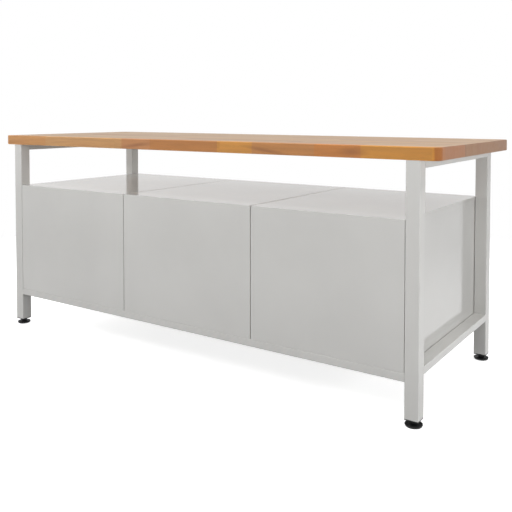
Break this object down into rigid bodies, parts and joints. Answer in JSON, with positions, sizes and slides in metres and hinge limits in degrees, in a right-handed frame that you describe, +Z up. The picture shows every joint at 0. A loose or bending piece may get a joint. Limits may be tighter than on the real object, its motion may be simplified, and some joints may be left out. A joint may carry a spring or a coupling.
{
  "type": "workbench",
  "caption": "Long workbench with a thick laminated wooden top on a square-tube steel frame, steel cabinets with pull-out drawers, and an open shelf under the top.",
  "frame": {"origin": "centre of the bench's footprint, on the floor", "axes": "+X along the length, +Y towards the plain cabinet backs, drawers open towards -Y, +Z up"},
  "size_m": [2, 0.752, 0.84],
  "materials": {
    "worktop": "oiled, satin",
    "frame_steel": "gloss powder coat",
    "cabinet_steel": "gloss powder coat",
    "drawer_steel": "satin powder coat",
    "black_plastic": "fine grained",
    "handle": "satin anodised",
    "zinc": "bright zinc plated"
  },
  "bodies": {
    "bench": {"worktop": "worktop", "worktop_screws": "zinc", "front_long_rail": "frame_steel", "back_long_rail": "frame_steel", "left_upper_side_rail": "frame_steel", "right_upper_side_rail": "frame_steel", "left_lower_side_rail": "frame_steel", "right_lower_side_rail": "frame_steel", "front_left_leg": "frame_steel", "back_left_leg": "frame_steel", "front_right_leg": "frame_steel", "back_right_leg": "frame_steel", "leg_caps": "black_plastic", "left_cabinet": "cabinet_steel", "centre_cabinet": "cabinet_steel", "right_cabinet": "cabinet_steel", "cabinet_bolts": "zinc", "left_cabinet_slides": "zinc", "centre_cabinet_slides": "zinc", "right_cabinet_slides": "zinc"},
    "front_left_foot": {"front_left_foot": "black_plastic"},
    "back_left_foot": {"back_left_foot": "black_plastic"},
    "front_right_foot": {"front_right_foot": "black_plastic"},
    "back_right_foot": {"back_right_foot": "black_plastic"},
    "left_bottom_drawer": {"left_bottom_drawer_tray": "drawer_steel", "left_bottom_drawer_front": "cabinet_steel", "left_bottom_drawer_handle": "handle", "left_bottom_drawer_runners": "zinc"},
    "left_middle_drawer": {"left_middle_drawer_tray": "drawer_steel", "left_middle_drawer_front": "cabinet_steel", "left_middle_drawer_handle": "handle", "left_middle_drawer_runners": "zinc"},
    "left_top_drawer": {"left_top_drawer_tray": "drawer_steel", "left_top_drawer_front": "cabinet_steel", "left_top_drawer_handle": "handle", "left_top_drawer_runners": "zinc"},
    "centre_bottom_drawer": {"centre_bottom_drawer_tray": "drawer_steel", "centre_bottom_drawer_front": "cabinet_steel", "centre_bottom_drawer_handle": "handle", "centre_bottom_drawer_runners": "zinc"},
    "centre_middle_drawer": {"centre_middle_drawer_tray": "drawer_steel", "centre_middle_drawer_front": "cabinet_steel", "centre_middle_drawer_handle": "handle", "centre_middle_drawer_runners": "zinc"},
    "centre_top_drawer": {"centre_top_drawer_tray": "drawer_steel", "centre_top_drawer_front": "cabinet_steel", "centre_top_drawer_handle": "handle", "centre_top_drawer_runners": "zinc"},
    "right_bottom_drawer": {"right_bottom_drawer_tray": "drawer_steel", "right_bottom_drawer_front": "cabinet_steel", "right_bottom_drawer_handle": "handle", "right_bottom_drawer_runners": "zinc"},
    "right_middle_drawer": {"right_middle_drawer_tray": "drawer_steel", "right_middle_drawer_front": "cabinet_steel", "right_middle_drawer_handle": "handle", "right_middle_drawer_runners": "zinc"},
    "right_top_drawer": {"right_top_drawer_tray": "drawer_steel", "right_top_drawer_front": "cabinet_steel", "right_top_drawer_handle": "handle", "right_top_drawer_runners": "zinc"}
  },
  "joints": [
    {"name": "front_left_foot_screw", "type": "slide", "parent": "bench", "child": "front_left_foot", "axis": [0, 0, -1], "range_m": [0, 0.02]},
    {"name": "back_left_foot_screw", "type": "slide", "parent": "bench", "child": "back_left_foot", "axis": [0, 0, -1], "range_m": [0, 0.02]},
    {"name": "front_right_foot_screw", "type": "slide", "parent": "bench", "child": "front_right_foot", "axis": [0, 0, -1], "range_m": [0, 0.02]},
    {"name": "back_right_foot_screw", "type": "slide", "parent": "bench", "child": "back_right_foot", "axis": [0, 0, -1], "range_m": [0, 0.02]},
    {"name": "left_bottom_drawer_slide", "type": "slide", "parent": "bench", "child": "left_bottom_drawer", "axis": [0, -1, 0], "range_m": [0, 0.5]},
    {"name": "left_middle_drawer_slide", "type": "slide", "parent": "bench", "child": "left_middle_drawer", "axis": [0, -1, 0], "range_m": [0, 0.5]},
    {"name": "left_top_drawer_slide", "type": "slide", "parent": "bench", "child": "left_top_drawer", "axis": [0, -1, 0], "range_m": [0, 0.5]},
    {"name": "centre_bottom_drawer_slide", "type": "slide", "parent": "bench", "child": "centre_bottom_drawer", "axis": [0, -1, 0], "range_m": [0, 0.5]},
    {"name": "centre_middle_drawer_slide", "type": "slide", "parent": "bench", "child": "centre_middle_drawer", "axis": [0, -1, 0], "range_m": [0, 0.5]},
    {"name": "centre_top_drawer_slide", "type": "slide", "parent": "bench", "child": "centre_top_drawer", "axis": [0, -1, 0], "range_m": [0, 0.5]},
    {"name": "right_bottom_drawer_slide", "type": "slide", "parent": "bench", "child": "right_bottom_drawer", "axis": [0, -1, 0], "range_m": [0, 0.5]},
    {"name": "right_middle_drawer_slide", "type": "slide", "parent": "bench", "child": "right_middle_drawer", "axis": [0, -1, 0], "range_m": [0, 0.5]},
    {"name": "right_top_drawer_slide", "type": "slide", "parent": "bench", "child": "right_top_drawer", "axis": [0, -1, 0], "range_m": [0, 0.5]}
  ]
}
